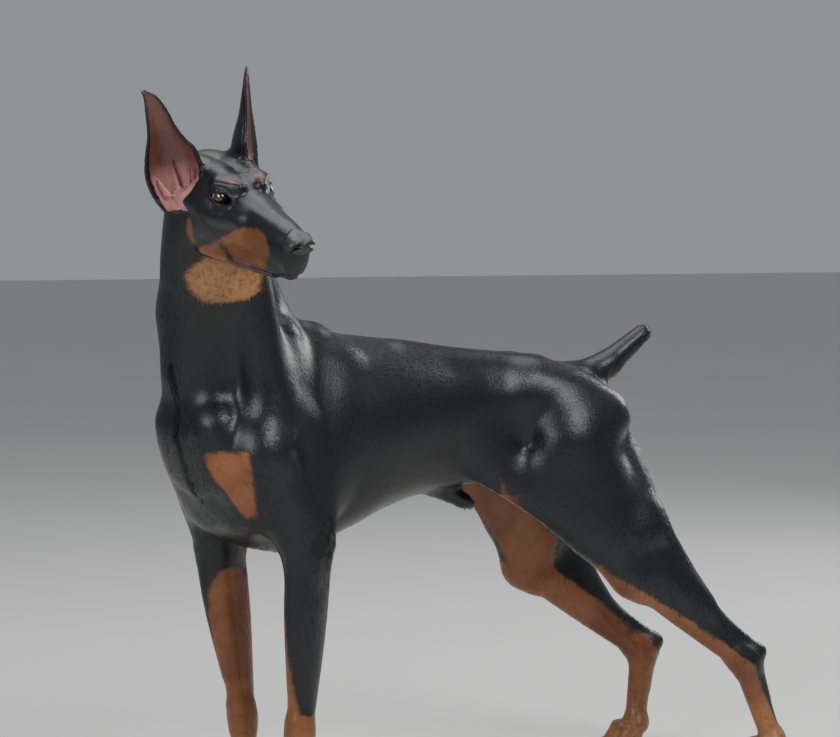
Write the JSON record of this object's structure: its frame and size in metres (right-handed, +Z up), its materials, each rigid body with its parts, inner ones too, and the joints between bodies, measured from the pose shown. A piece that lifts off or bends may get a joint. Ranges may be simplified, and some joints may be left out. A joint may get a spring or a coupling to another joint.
{
  "type": "life-size doberman pinscher model",
  "caption": "Still life-size model of a black and rust doberman pinscher standing with stretched hind legs, head turned to its left.",
  "frame": {"origin": "on the floor, at the middle of the model's bounding box", "axes": "+X towards the dog's chest, +Y to the dog's left, +Z up; the paws rest on z = 0"},
  "size_m": [1.098, 0.5676, 1.0713],
  "materials": {
    "coat": "short glossy black hair with rust markings on the muzzle, over the eyes, on the throat, chest, legs and under the tail",
    "tan_coat": "short rust-red hair",
    "nose": "moist grained skin",
    "eye": "wet and glossy",
    "claw": "horn"
  },
  "bodies": {
    "root": {"torso": "coat", "neck": "coat", "head": "coat", "nose": "nose", "eye_left": "eye", "eye_right": "eye", "ear_left": "coat", "ear_right": "coat", "tail": "coat", "foreleg_left": "coat", "foreleg_right": "coat", "hindleg_left": "coat", "hindleg_right": "coat", "forepaw_left": "tan_coat", "forepaw_right": "tan_coat", "hindpaw_left": "tan_coat", "hindpaw_right": "tan_coat"}
  },
  "joints": []
}
